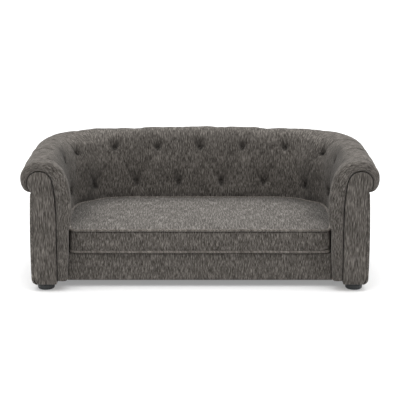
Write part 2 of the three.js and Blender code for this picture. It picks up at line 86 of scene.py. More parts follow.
low, high = cad_box
ROLL_RADIUS = 50 * MM
ROLL_LINE_X = high.x - ROLL_RADIUS
ROLL_LINE_Y = high.y - ROLL_RADIUS
FRONT_Y = low.y
BACK_CREST = high.z
CORNER_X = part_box("back_padding")[1].x
CORNER_RADIUS = ROLL_LINE_X - CORNER_X
CORNER_Y = ROLL_LINE_Y - CORNER_RADIUS
ARM_LENGTH = CORNER_Y - FRONT_Y
BACK_START = ARM_LENGTH + CORNER_RADIUS * math.pi / 2
CORNER_MIDDLE = (ARM_LENGTH + BACK_START) / 2
HALF_LENGTH = BACK_START + CORNER_X

ARM_CREST = 383 * MM
CORNER_CREST = 387 * MM
FOOT_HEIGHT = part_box("left_front_foot")[1].z
DECK_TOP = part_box("seat_deck")[1].z
CUSHION_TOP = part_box("cushion_cover")[1].z
OUTSIDE_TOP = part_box("outside_back_panel")[1].z
OUTSIDE_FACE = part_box("outside_back_panel")[1].y - ROLL_LINE_Y
OUTSIDE_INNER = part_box("outside_back_panel")[0].y - ROLL_LINE_Y
FOAM_BACK = -9 * MM  # the padding's hidden back
GAP = 0.3 * MM

ARM_FRONT_INSET = 82 * MM
WALL_INSET = 64 * MM
ARM_FLARE = 237 * MM  # how far back the arms' thicker fronts taper off
CORNER_FILL = 34 * MM  # how much thicker the padding is in the rear corners
FILL_REACH = 215 * MM
FACE_BEND_Z = 270 * MM  # where the inner face starts to bend over into the roll
FACE_POWER = 2.5

# Tufts: distances from the back's middle along the tub line, and heights.
UPPER_TUFTS = mm(0, 137, 274, 515, 660)
LOWER_TUFTS = mm(68.5, 205.5, 385, 600, 735)
UPPER_TUFT_Z = 334 * MM
LOWER_TUFT_Z = 220 * MM
CORNER_TUFT = LOWER_TUFTS[2]
TUFT_DEPTH = 20 * MM

# ---- Curves ----


def smooth(t):
    t = np.clip(t, 0, 1)
    return t * t * (3 - 2 * t)


def rising(value, start, width):
    """0 up to a start, 1 from a width beyond it, and smooth between."""
    return smooth((value - start) / width)


def falling(value, end, width):
    """1 until a width before an end, 0 from the end on, and smooth between."""
    return smooth((end - value) / width)


def bell(offset, reach, power=2):
    """1 at no offset, 1/e at the reach and 0 far away."""
    return np.exp(-((np.abs(offset) / reach) ** power))


def both_sides(places):
    return sorted({s for place in places for s in (-place, place)})


def pairs(a, b):
    return np.stack([a, b], axis=-1)


def unit(vectors):
    return vectors / np.maximum(np.linalg.norm(vectors, axis=-1, keepdims=True), 1e-12)


def lengths_along(points):
    """Each point's distance from the first one, along a polyline."""
    return np.concatenate([[0], np.cumsum(np.linalg.norm(np.diff(points, axis=0), axis=1))])


def resample(points, parameter):
    """Points of a polyline at shares, from 0 to 1, of its length."""
    along = lengths_along(points)
    along /= along[-1]
    return np.stack([np.interp(parameter, along, points[:, k]) for k in range(points.shape[1])], axis=-1)


def arc(centre, radius, start, end, steps):
    """Points on a circle between two angles in degrees, as [across, up] pairs."""
    angles = np.radians(np.linspace(start, end, steps))
    return pairs(centre[0] + radius * np.cos(angles), centre[1] + radius * np.sin(angles))


def ripple(u, v, wavelength, seed, waves=14):
    """Soft unevenness about 1 high: a sum of sine waves in random directions."""
    draw = np.random.default_rng(seed)
    total = np.zeros(np.broadcast(u, v).shape)
    for _ in range(waves):
        heading, phase = draw.uniform(0, 2 * math.pi, 2)
        pitch = 2 * math.pi / (wavelength * draw.uniform(0.7, 1.5))
        total += np.sin(pitch * (u * math.cos(heading) + v * math.sin(heading)) + phase)
    return total / math.sqrt(waves)


# ---- The tub line: under the roll, from the left arm's front round to the right arm's front ----


def from_front(distance):
    return np.minimum(distance, 2 * HALF_LENGTH - distance)


def tub_points(distance, outwards, z):
    """Points at distances along the tub line, moved outwards and up. Arrays are broadcast."""
    distance, outwards, z = np.broadcast_arrays(distance, outwards, z)
    q = from_front(distance)
    angle = np.clip((q - ARM_LENGTH) / CORNER_RADIUS, 0, math.pi / 2)
    x = -CORNER_X - (CORNER_RADIUS + outwards) * np.cos(angle) + np.maximum(q - BACK_START, 0)
    y = FRONT_Y + np.minimum(q, ARM_LENGTH) + (CORNER_RADIUS + outwards) * np.sin(angle)
    x = np.where(distance > HALF_LENGTH, -x, x)
    return np.stack([x, y, z], axis=-1)


def inner_inset(distance):
    """How far the padding's inner face stands inside the tub line at seat height."""
    q = from_front(distance)
    reach = np.minimum(np.abs(q - CORNER_MIDDLE) / FILL_REACH, 1)
    fill = CORNER_FILL * np.cos(reach * math.pi / 2) ** 2
    return ARM_FRONT_INSET + (WALL_INSET - ARM_FRONT_INSET) * smooth(q / ARM_FLARE) + fill


def crest_height(distance):
    q = from_front(distance)
    on_arm = ARM_CREST + (CORNER_CREST - ARM_CREST) * q / CORNER_MIDDLE
    climb = (q - CORNER_MIDDLE) / (HALF_LENGTH - CORNER_MIDDLE)
    return np.where(q < CORNER_MIDDLE, on_arm, CORNER_CREST + (BACK_CREST - CORNER_CREST) * climb)


# ---- Mesh helpers ----


def new_object(name, mesh, material):
    piece = bpy.data.objects.new(name, mesh)
    bpy.context.scene.collection.objects.link(piece)
    mesh.materials.append(material)
    return piece


def paint_shade(mesh, values):
    """Painted shade: how much darker the cloth is at each vertex, as a share. Below 0 it is painted lighter.
    """
    layer = mesh.attributes.new("shade", "FLOAT", "POINT")
    layer.data.foreach_set("value", np.asarray(values, np.float32))


def make_piece(name, vertices, faces, material, uv=None):
    """A smooth-shaded mesh object. uv holds one pair in metres for each vertex."""
    mesh = bpy.data.meshes.new(name)
    mesh.from_pydata([tuple(v) for v in vertices], [], faces)
    if uv is not None:
        corners = np.zeros(len(mesh.loops), int)
        mesh.loops.foreach_get("vertex_index", corners)
        layer = mesh.uv_layers.new(name="UVMap")
        layer.data.foreach_set("uv", np.asarray(uv, np.float32)[corners].ravel())
    tidy = bmesh.new()
    tidy.from_mesh(mesh)
    bmesh.ops.recalc_face_normals(tidy, faces=tidy.faces)
    tidy.to_mesh(mesh)
    tidy.free()
    mesh.polygons.foreach_set("use_smooth", [True] * len(mesh.polygons))
    return new_object(name, mesh, material)


def grid_faces(rows, columns, closed=False):
    """Quads of a grid of vertices. With closed, the last column joins the first."""
    wide = columns if closed else columns - 1
    return [
        (j * columns + i, j * columns + (i + 1) % columns,
         (j + 1) * columns + (i + 1) % columns, (j + 1) * columns + i)
        for j in range(rows - 1)
        for i in range(wide)
    ]


def tube_faces(rows, columns):
    """The faces of a closed tube of rings, with both its ends capped."""
    last = (rows - 1) * columns
    return grid_faces(rows, columns, closed=True) + [list(range(columns)), list(range(last, last + columns))]


# ---- Materials ----


class Nodes:
    """Short calls for adding and linking the shader nodes of a material or a world."""

    def __init__(self, owner):
        owner.use_nodes = True
        self.owner = owner
        self.tree = owner.node_tree

    def add(self, kind, inputs=(), **settings):
        node = self.tree.nodes.new("ShaderNode" + kind)
        for key, value in settings.items():
            setattr(node, key, value)
        self.set(node, dict(inputs))
        return node

    def set(self, node, inputs):
        for key, value in inputs.items():
            if isinstance(value, bpy.types.NodeSocket):
                self.tree.links.new(value, node.inputs[key])
            else:
                node.inputs[key].default_value = value

    def surface(self, **inputs):
        """Sets the surface's inputs, named with _ for a space, and gives the material back."""
        shader = self.tree.nodes["Principled BSDF"]
        self.set(shader, {key.replace("_", " "): value for key, value in inputs.items()})
        return self.owner

    def math(self, operation, a, b=0.0):
        return self.add("Math", {0: a, 1: b}, operation=operation).outputs[0]

    def scaled(self, vector, scale, turn=0.0):
        node = self.add("Mapping", {"Vector": vector, "Scale": scale, "Rotation": (0, 0, turn)})
        return node.outputs[0]

    def noise(self, vector, detail, roughness):
        inputs = {"Vector": vector, "Scale": 1.0, "Detail": detail, "Roughness": roughness}
        return self.add("TexNoise", inputs, noise_dimensions="3D").outputs["Fac"]

    def ramp(self, value, *stops):
        node = self.add("ValToRGB", {"Fac": value})
        elements = node.color_ramp.elements
        while len(elements) < len(stops):
            elements.new(0.5)
        for element, (place, colour) in zip(elements, stops):
            element.position = place
            element.color = (*colour, 1)
        return node.outputs["Color"]


YARN_PITCH = 1.6 * MM
TWEED_DARK = (0.0235, 0.0198, 0.0168)
TWEED_MID = (0.0800, 0.0718, 0.0637)
TWEED_LIGHT = (0.2150, 0.1960, 0.1775)


def tweed(name, turn=0.0, slub=(330, 48), yarn=(610, 110), contrast=1.0, gain=(1, 1, 1)):
    """Matt tweed: light and dark slubbed yarns that run along the UV's v, in metres. slub and yarn are
    the streaks' frequencies across and along."""
    n = Nodes(bpy.data.materials.new(name))
    uv = n.add("UVMap").outputs[0]
    if turn:
        uv = n.scaled(uv, (1, 1, 1), turn)
    slubs = n.noise(n.scaled(uv, (*slub, 1)), 2, 0.6)
    yarns = n.noise(n.scaled(uv, (*yarn, 1)), 1, 0.5)
    patches = n.noise(n.scaled(uv, (22, 14, 1)), 2, 0.5)
    streak = n.math("ADD", n.math("MULTIPLY", slubs, 0.6), n.math("MULTIPLY", yarns, 0.4))
    streak = n.math("ADD", streak, n.math("MULTIPLY", n.math("SUBTRACT", patches, 0.5), 0.12))
    spread = n.math("MULTIPLY", n.math("SUBTRACT", streak, 0.5), contrast)
    tones = [tuple(c * g for c, g in zip(tone, gain)) for tone in (TWEED_DARK, TWEED_MID, TWEED_LIGHT)]
    colour = n.ramp(n.math("ADD", spread, 0.5), *zip((0.36, 0.50, 0.66), tones))
    # Painted shade: the shade attribute darkens the colour by its share, and below 0 paints it lighter.
    light = n.math("SUBTRACT", 1.0, n.add("Attribute", attribute_name="shade").outputs["Fac"])
    colour = n.add("VectorMath", {0: colour, "Scale": light}, operation="SCALE").outputs[0]

    pitch = 2 * math.pi / YARN_PITCH
    place = n.add("SeparateXYZ", {0: uv})
    warp = n.math("SINE", n.math("MULTIPLY", place.outputs[0], pitch))
    weft = n.math("SINE", n.math("MULTIPLY", place.outputs[1], pitch))
    weave = n.math("MULTIPLY", warp, weft)
    fuzz = n.noise(n.scaled(uv, (1900, 1500, 1)), 2, 0.6)
    height = n.math("ADD", n.math("MULTIPLY", weave, 0.35), n.math("ADD", fuzz, streak))
    bump = n.add("Bump", {"Height": height, "Strength": 0.6, "Distance": 0.7 * MM}).outputs[0]
    return n.surface(Base_Color=colour, Normal=bump, Roughness=0.95, Specular_IOR_Level=0.15,
                     Sheen_Weight=0.15, Sheen_Roughness=0.6, Sheen_Tint=(0.75, 0.72, 0.68, 1))


def plain(name, colour, roughness, metallic=0.0, *, grain, contrast=0.25, relief=0.05 * MM):
    """A material with mottled colour and fine relief, for wood, plastic, metal, cloth and foam."""
    n = Nodes(bpy.data.materials.new(name))
    place = n.add("TexCoord").outputs["Object"]
    pattern = n.noise(n.scaled(place, grain), 4, 0.6)
    dark = tuple(c * (1 - contrast) for c in colour)
    light = tuple(min(c * (1 + contrast), 1) for c in colour)
    bump = n.add("Bump", {"Height": pattern, "Strength": 0.5, "Distance": relief}).outputs[0]
    mottled = n.ramp(pattern, (0.3, dark), (0.7, light))
    return n.surface(Base_Color=mottled, Normal=bump, Roughness=roughness, Metallic=metallic)


fabric = tweed("tweed")
facing_fabric = tweed("facing_tweed", slub=(330, 28), yarn=(600, 66))
# The cushion top's tweed: finer streaks, and its tones painted lighter, a lit copy of the tweed for the
# upward faces.
lit_top_tweed = tweed("seat_top_painted_light_tweed", slub=(270, 27), yarn=(490, 60), gain=(1.12, 1.15, 1.18))
# The piping's tweed, cut on the bias, is painted lighter: painted light for the lit line along each cord.
bias_fabric = tweed("bias_cut_tweed", math.radians(45), contrast=0.7, gain=(1.45, 1.45, 1.45))
foot_plastic = plain("foot_plastic", (0.02, 0.023, 0.025), 0.45, grain=(900, 900, 900))
timber = plain("timber", (0.48, 0.27, 0.11), 0.7, grain=(8, 90, 90))
plywood = plain("plywood", (0.58, 0.39, 0.18), 0.75, grain=(6, 60, 60))
dust_cloth = plain("dust_cloth", (0.012, 0.012, 0.013), 0.95, grain=(1200, 1200, 1200), relief=0.2 * MM)
lining = plain("deck_lining", (0.035, 0.033, 0.031), 0.95, grain=(900, 900, 900), relief=0.2 * MM)
foam = plain("foam", (0.70, 0.64, 0.48), 0.95, grain=(700, 700, 700), relief=0.4 * MM)
bolt_steel = plain("bolt_steel", (0.33, 0.34, 0.35), 0.35, 1.0, grain=(500, 500, 500))
zip_tape = plain("zip_tape", (0.02, 0.02, 0.021), 0.95, grain=(1500, 400, 1500), relief=0.2 * MM)
zip_metal = plain("zip_metal", (0.07, 0.075, 0.08), 0.35, 1.0, grain=(900, 900, 900))

# ---- Tufted padding ----

GRID = 3.6 * MM  # between rows along the tub line
RIM_ROUND = 11 * MM
FRONT_ROWS = mm(11, 16, 22, 27.7, 34, 41, 48.5, 56)  # the front band's rows
TUNNEL_ROW = 3  # the facing stands in a tunnel that ends level with this row
TUNNEL_END = FRONT_ROWS[TUNNEL_ROW]
BAND_END = FRONT_ROWS[-1]
BAND_BOTTOM = 31 * MM
BAND_TAPER = 5 * MM
BAND_BULGE = 11 * MM  # how far the band swells inwards above the cushion
BAND_POINTS, SKIN_POINTS = 20, 144  # in a row: below the skin, and in it
LOW_POINTS, FACE_POINTS = 24, 60  # in the skin's outline: below and above the face's bend
INNER_COLUMN = BAND_POINTS + 36  # on the inner face, where lengths along the skin are measured
ROLL_COLUMN = BAND_POINTS + 72  # on the roll's top
ROLL_SPLAY, ROLL_LIFT = mm(2, 5)  # how far the arms' rolls lean out and up at the front
FACING_INNER = -48 * MM
GROOVE = 0.5 * MM  # between the facing's outline and the tunnel's wall
CREST_N = -9 * MM  # the crest's place across the tub line
TUCK_N = 20 * MM  # where the roll meets the outside panels
OVER_POWER = 0.94  # below 1 the roll is squarer than a circle
UNDER_POWER = 0.83
RIM_POWER = 2.6
BASE_Z = DECK_TOP + GAP
ROLL_UNDERSIDE = 294 * MM

FULLNESS = 2 * MM
CREST_FULLNESS = 1.6 * MM
SLACK_DROP = 1.9 * MM  # the crest dips beside the back's middle
TUFT_HALF = 7 * MM
TUFT_SPREAD = 0.6  # how fast a dimple's fan widens upwards
TUFT_FADE = 17 * MM
BOWL_DEPTH, BOWL_REACH = mm(6, 34)  # the shallow dip round each button
CREST_DIP, CREST_DIP_REACH, CREST_DIP_PLACE = mm(5, 12, 32)  # where pleats meet on the roll
PULL, PULL_REACH = 0.45, 24 * MM  # how the cloth is drawn along towards each button
# Pleats: the depth at each end and between, the length in which the ends fade, and the half width.
FACE_PLEAT = mm(14, 4, 2.4, 20, 4.5)
CREST_PLEAT = mm(14, 4, 2.2, 20, 4.5)  # on over the crest
ROLL_PLEAT = mm(3, 1, 1, 20, 6)  # down the roll's outside
LOW_PLEAT = mm(4, 0.5, 0.5, 14, 7)  # from a lower tuft to the seat
# Folds over the arms' rolls: place, reach inside and outside the crest, and how far they slant back.
ROLL_FOLDS = [(*mm(739, 24, 50), 0.8), (*mm(588, 16, 22), 0.15)]
FOLD_DEPTH = 8 * MM
SIDE_HOLLOW = 4 * MM  # how far the arm's inner side is drawn in behind its front band

# Painted shade and light on the padding's cloth: how much darker or lighter it is, as a share.
TUFT_SHADE = 0.66
UPPER_SHADE_DROP, LOWER_SHADE_DROP = mm(7, 11)  # how far below its button a dark fan starts
CORNER_FAN = 1.7  # how much wider the dark fans are from the corners on
PUFF_LIGHT = 0.14
CREASE_SHADE = 0.7
DENT_SHADE = 0.3
SIDE_SHADE = 0.42
CONTACT_SHADE = 0.35
CORNER_SHADE = 0.2
BAND_SHADE = 0.12
BACK_LIGHT = 0.22


def scroll_outline(grow):
    """The left arm's front panel from its bottom inner corner, over the top and down to the underside of
    the roll, as [outwards, z] pairs."""

    def bezier(p0, p1, p2, p3):
        t = np.linspace(0, 1, 40)[1:, None]
        p0, p1, p2, p3 = (np.array(p) * MM for p in (p0, p1, p2, p3))
        return (1 - t) ** 3 * p0 + 3 * (1 - t) ** 2 * t * p1 + 3 * (1 - t) * t * t * p2 + t**3 * p3

    g = grow / MM
    inner, outer, shoulder, top = FACING_INNER / MM - g, 20 + g, 33 + g, 359 + g
    return np.concatenate([
        np.array([[inner, 20 - g], [inner, 120], [inner, 220]]) * MM,
        bezier((inner, 220), (inner, 262), (inner + 3, 300), (inner + 10, 330)),
        bezier((inner + 10, 330), (inner + 16, 350), (-18, top), (-2, top)),
        bezier((-2, top), (16, top), (shoulder, 345), (shoulder, 326)),
        bezier((shoulder, 326), (shoulder, 312), (outer + 7, 300), (outer, 294)),
    ])


def skin_section(distance):
    """The padding's smooth skin before tufting, from the seat deck up and over the roll to its
    underside, as [outwards, z] pairs."""
    inset = float(inner_inset(distance))
    crest = float(crest_height(distance))
    roll_z = crest - ROLL_RADIUS
    bulge = BAND_BULGE * float(falling(from_front(distance), BAND_END, 22 * MM))
    low_z = np.linspace(BASE_Z, FACE_BEND_Z, LOW_POINTS, endpoint=False)
    low_face = inset + bulge * rising(low_z, CUSHION_TOP - 16 * MM, 60 * MM)
    rise = 1 - np.linspace(1, 0, FACE_POINTS) ** 2
    face = (inset + CREST_N) * (1 - rise**FACE_POWER) ** (1 / FACE_POWER) - CREST_N
    face = face + bulge * (1 - rise) ** 0.5
    turn = np.linspace(0, math.pi / 2, 40)[1:]
    over_n = CREST_N + (ROLL_RADIUS - CREST_N) * np.sin(turn) ** OVER_POWER
    under_n = TUCK_N + (ROLL_RADIUS - TUCK_N) * np.cos(turn) ** UNDER_POWER
    return np.concatenate([
        pairs(-low_face, low_z),
        pairs(-face, FACE_BEND_Z + rise * (crest - FACE_BEND_Z)),
        pairs(over_n, roll_z + ROLL_RADIUS * np.cos(turn) ** OVER_POWER),
        pairs(under_n, roll_z - (roll_z - ROLL_UNDERSIDE) * np.sin(turn) ** UNDER_POWER),
        [[TUCK_N - 2 * MM, ROLL_UNDERSIDE]],
    ])


def section_length_above_bend(distance, z):
    """Length along the section from where the face starts to bend, up to a height on the inner face."""
    if z <= FACE_BEND_Z:
        return z - FACE_BEND_Z
    skin = skin_section(distance)
    face = slice(LOW_POINTS, LOW_POINTS + FACE_POINTS)
    along = lengths_along(skin) - (FACE_BEND_Z - BASE_Z)
    return float(np.interp(z, skin[face, 1], along[face]))


def padding_rows():
    """Distances of the rows behind the rounded front rims, and which rows still have the low band."""
    front = np.array(FRONT_ROWS)
    middle = np.linspace(BAND_END, 2 * HALF_LENGTH - BAND_END, round(2 * (HALF_LENGTH - BAND_END) / GRID))
    distances = np.concatenate([front, middle, 2 * HALF_LENGTH - front[::-1]])
    band = np.zeros(len(distances), bool)
    band[: len(front)] = band[-len(front) :] = True
    return distances, band


def padding_section(distance, band):
    """One row's points: the low band or the underside first, then the skin."""
    inset = float(inner_inset(distance))
    start = FACING_INNER - GROOVE
    if band:
        path = [[start, BAND_BOTTOM], [BAND_TAPER - inset, BAND_BOTTOM], [-inset, BASE_Z]]
    else:
        path = [[start, BASE_Z], [-inset, BASE_Z]]
    low_part = resample(np.array(path), np.linspace(0, 1, BAND_POINTS, endpoint=False))
    return np.concatenate([low_part, resample(skin_section(distance), np.linspace(0, 1, SKIN_POINTS))])


def splay(points):
    """Leans the arms' rolls out and lifts them a little towards the front."""
    x, y, z = points[..., 0], points[..., 1], points[..., 2]
    along = 1 - np.clip((y - FRONT_Y) / ARM_LENGTH, 0, 1)
    on_arm = rising(np.abs(x), 250 * MM, 120 * MM)
    moved = points.copy()
    moved[..., 0] += np.sign(x) * ROLL_SPLAY * along * rising(z, 230 * MM, 100 * MM) * on_arm
    moved[..., 2] += ROLL_LIFT * along**0.6 * rising(z, 270 * MM, 40 * MM) * on_arm
    return moved


class Skin:
    """The padding's grid laid flat, and what tufts, pleats and folds do to it. u runs along the tub line
    from its middle, and v up the section from where the face starts to bend."""

    def __init__(self, distances, points):
        rows, columns = points.shape[:2]
        self.middle = distances - HALF_LENGTH
        self.off_middle = np.abs(self.middle)[:, None]
        self.from_front = from_front(distances)[:, None]
        self.height = points[..., 2].copy()
        self.u_row = lengths_along(points[:, INNER_COLUMN])
        self.u_row -= np.interp(0, self.middle, self.u_row)
        self.u = np.repeat(self.u_row[:, None], columns, axis=1)
        self.v = np.array([lengths_along(row) for row in points])
        self.v -= (self.v[:, BAND_POINTS] + FACE_BEND_Z - BASE_Z)[:, None]
        top = np.argmax(self.height[:, BAND_POINTS:], axis=1) + BAND_POINTS
        self.crest = self.v[np.arange(rows), top]
        self.past_crest = self.v - self.crest[:, None]

    def across(self, s):
        return float(np.interp(s, self.middle, self.u_row))

    def on_face(self, s, z):
        return self.across(s), section_length_above_bend(HALF_LENGTH + s, z)

    def on_roll(self, s, beyond):
        row = int(np.argmin(np.abs(self.middle - s)))
        return self.across(s), float(self.crest[row]) + beyond

    def tuft(self, x, y):
        """A button's dimple: steep below, and drawn out above into a fan that widens as it fades."""
        du, dv = self.u - x, self.v - y
        above = np.maximum(dv, 0)
        fan = bell(du, TUFT_HALF + TUFT_SPREAD * above, 2.6) * bell(above, TUFT_FADE, 1.4)
        below = bell(du, TUFT_HALF, 2.6) * bell(dv, TUFT_HALF)
        depth = (TUFT_DEPTH - 1 * MM) * np.where(dv > 0, fan, below)
        return depth + BOWL_DEPTH * bell(np.hypot(du, dv), BOWL_REACH)

    def pleat(self, start, end, at_start, at_end, between, fade, width):
        """A pleat between two places, deeper towards its ends and wider away from its start."""
        (x0, y0), (x1, y1) = start, end
        length = math.hypot(x1 - x0, y1 - y0)
        along = ((self.u - x0) * (x1 - x0) + (self.v - y0) * (y1 - y0)) / length
        off = np.abs((self.u - x0) * (y1 - y0) - (self.v - y0) * (x1 - x0)) / length
        beyond = np.maximum(np.maximum(-along, along - length), 0)
        depth = between + (at_start - between) * bell(along, fade, 1)
        depth = depth + (at_end - between) * bell(length - along, fade, 1)
        spread = width * (1 + 0.9 * np.clip(along / (40 * MM), 0, 1))
        return depth * bell(np.hypot(off, beyond * 1.5), spread, 1)

    def roll_fold(self, side, s, inside, outside, slant):
        """Offsets from a wavering fold over a roll, and 1 along it."""
        waver = 2 * MM * np.sin(self.past_crest / (11 * MM) + s * 40 * side)
        off = self.u - self.across(side * s) - waver + side * slant * self.past_crest
        return off, rising(self.past_crest, -inside, 12 * MM) * falling(self.past_crest, outside, 16 * MM)

    def fan_shade(self, x, y):
        """The painted shade of a fan up from a button, and the painted light on the puffed cloth under it.
        """
        du, dv = self.u - x, self.v - y
        above = np.maximum(dv, 0)
        wide = CORNER_FAN if abs(x) > self.across(CORNER_TUFT) - 1 * MM else 1
        fan = bell(du, wide * (6 * MM + 0.55 * above), 3) * (1 - rising(above, 6 * MM, 20 * MM))
        puff = bell(du, 18 * MM) * bell(dv + 24 * MM, 13 * MM)
        return TUFT_SHADE * fan * rising(dv, -5 * MM, 6 * MM) - PUFF_LIGHT * puff

    def tufting(self):
        """How far each point is drawn in, how far along the skin, and how dark its painted shade makes it.
        """
        uppers = [self.on_face(s, UPPER_TUFT_Z) for s in both_sides(UPPER_TUFTS)]
        lowers = [self.on_face(s, LOWER_TUFT_Z) for s in both_sides(LOWER_TUFTS)]
        crossings = [self.on_roll(s, CREST_DIP_PLACE) for s in both_sides(LOWER_TUFTS)]
        dents = [self.tuft(x, y) for x, y in uppers + lowers]
        for x, y in crossings:
            dents.append(CREST_DIP * bell(np.hypot(self.u - x, self.v - y), CREST_DIP_REACH))
        for i, (lower, crossing) in enumerate(zip(lowers, crossings)):
            for upper in uppers[max(i - 1, 0) : i + 1]:
                dents.append(self.pleat(lower, upper, *FACE_PLEAT))
                dents.append(self.pleat(upper, crossing, *CREST_PLEAT))
            dents.append(self.pleat(crossing, (lower[0], crossing[1] + 90 * MM), *ROLL_PLEAT))
            dents.append(self.pleat(lower, (lower[0], -150 * MM), *LOW_PLEAT))
        shades = [self.fan_shade(x, y - UPPER_SHADE_DROP) for x, y in uppers]
        shades += [self.fan_shade(x, y - LOWER_SHADE_DROP) for x, y in lowers]
        for fold in ROLL_FOLDS:
            for side in (-1, 1):
                off, reach = self.roll_fold(side, *fold)
                dents.append(FOLD_DEPTH * bell(off, 6 * MM, 1.4) * reach)
                shades.append(CREASE_SHADE * bell(off, 5.5 * MM) * reach)
        inward = sum(dent**4 for dent in dents) ** 0.25
        # Painted shade from the fans and folds, darker still where the cloth is drawn in deep; painted light
        # under the tufts.
        light = np.prod([1 - dark for dark in shades], axis=0)
        light = light * (1 - DENT_SHADE * rising(inward, 2 * MM, 9 * MM))

        pull = np.zeros((*self.u.shape, 2))
        for x, y in uppers + lowers:
            toward = pairs(x - self.u, y - self.v)
            pull += toward * PULL * bell(np.linalg.norm(toward, axis=-1, keepdims=True), PULL_REACH)
        return inward, pull, 1 - light

    def fullness(self):
        """How far the cloth stands out between its tufts."""
        slack = rising(self.off_middle, 190 * MM, 14 * MM) * falling(self.off_middle, 345 * MM, 40 * MM)
        return FULLNESS + (CREST_FULLNESS - SLACK_DROP * slack) * bell(self.past_crest, 70 * MM)

    def hollow_side(self):
        """1 on the arms' inner sides, behind their front bands and below their rolls."""
        q, z = self.from_front, self.height
        behind_band = rising(q, 52 * MM, 20 * MM) * falling(q, 380 * MM, 120 * MM)
        return behind_band * rising(z, 185 * MM, 50 * MM) * falling(self.past_crest, -12 * MM, 34 * MM)

    def place_shade(self, shade):
        """Adds to the tufts' painted shade what the place adds: painted shade on the arms' inner sides, just
        above the seat and in the corners, and painted light on the back.
        """
        shade = 1 - (1 - shade) * (1 - SIDE_SHADE * self.hollow_side())
        on_back = falling(self.off_middle, 430 * MM, 120 * MM) * falling(self.past_crest, -60 * MM, 70 * MM)
        at_seat = 1 - rising(self.height, CUSHION_TOP + 4 * MM, 20 * MM)
        in_corner = bell(self.off_middle - 430 * MM, 75 * MM) * falling(self.height, 310 * MM, 70 * MM)
        shade = shade + CONTACT_SHADE * at_seat * rising(self.from_front, 52 * MM, 10 * MM)
        return shade - BACK_LIGHT * on_back + CORNER_SHADE * in_corner * (self.past_crest < 0)


def front_rim():
    """Rows from the tunnel's end and the facing's groove out to the skin at the left arm's front."""
    scroll = scroll_outline(GROOVE)
    scroll = scroll[scroll[:, 1] >= BAND_BOTTOM - 1e-6]
    scroll = np.concatenate([[[scroll[0, 0], BAND_BOTTOM]], scroll])
    groove = resample(scroll, np.linspace(0, 1, 1200))
    outline = padding_section(RIM_ROUND, True)
    nearest = np.array([np.argmin(np.linalg.norm(groove - p, axis=1)) for p in outline])
    nearest = np.pad(np.maximum.accumulate(nearest), 4, mode="edge").astype(float)
    nearest = np.convolve(nearest, np.ones(9) / 9, "valid")
    inner = groove[nearest.round().astype(int)]
    reach = np.linalg.norm(outline - inner, axis=1)
    depth = np.minimum(RIM_ROUND, 0.5 * reach + 1 * MM)
    rim = [tub_points(TUNNEL_END, inner[:, 0], inner[:, 1])]
    for t in (1 - np.cos(np.linspace(math.pi, 0, 13)[:-1])) / 2:
        d = RIM_ROUND - depth * (1 - abs(2 * t - 1) ** RIM_POWER) ** (1 / RIM_POWER)
        at_skin = splay(tub_points(d, outline[:, 0], outline[:, 1]))
        at_groove = tub_points(d, inner[:, 0], inner[:, 1])
        rim.append(at_skin + (at_groove - at_skin) * t)
    return rim


def build_padding():
    """The padding's grid from one tunnel's end to the other, its rows' distances, its lengths up the
    section, its painted shade and the number of rows in a rim."""
    distances, band = padding_rows()
    flat = np.array([padding_section(d, b) for d, b in zip(distances, band)])
    points = splay(tub_points(distances[:, None], flat[..., 0], flat[..., 1]))
    skin = Skin(distances, points)
    inward, pull, shade = skin.tufting()
    shade = skin.place_shade(shade)

    along, across = (unit(np.gradient(points, axis=k)) for k in (0, 1))
    normals = unit(np.cross(across, along))
    normals *= np.sign(np.median(normals[:, ROLL_COLUMN, 2]))
    front_fade = rising(skin.from_front, 60 * MM, 60 * MM)
    share = np.linspace(0, 1, SKIN_POINTS)
    edge_fade = np.pad(smooth(share / 0.06) * smooth((1 - share) / 0.05), (BAND_POINTS, 0))
    uneven = ripple(skin.u, skin.v, 60 * MM, 3) * 0.6 * MM + ripple(skin.u, skin.v, 24 * MM, 4) * 0.25 * MM
    out = (skin.fullness() - inward) * front_fade + uneven - SIDE_HOLLOW * skin.hollow_side()
    points += normals * (out * edge_fade)[..., None]
    points += (along * pull[..., :1] + across * pull[..., 1:]) * (front_fade * edge_fade)[..., None]

    lead = front_rim()
    tail = [p * [-1, 1, 1] for p in lead[::-1]]
    grid = np.concatenate([np.array(lead), points, np.array(tail)])
    shade[:, BAND_POINTS:] *= np.where(skin.hollow_side() > 0, 1, front_fade)[:, BAND_POINTS:]
    shade = np.pad(shade, ((len(lead), len(tail)), (0, 0)))
    # Painted shade: the arms' front bands a little darker below the rolls.
    near_front = falling(grid[..., 1], FRONT_Y + 60 * MM, 20 * MM)
    shade = shade + BAND_SHADE * near_front * falling(grid[..., 2], 330 * MM, 40 * MM)
    return grid, distances, skin.v, shade, len(lead)


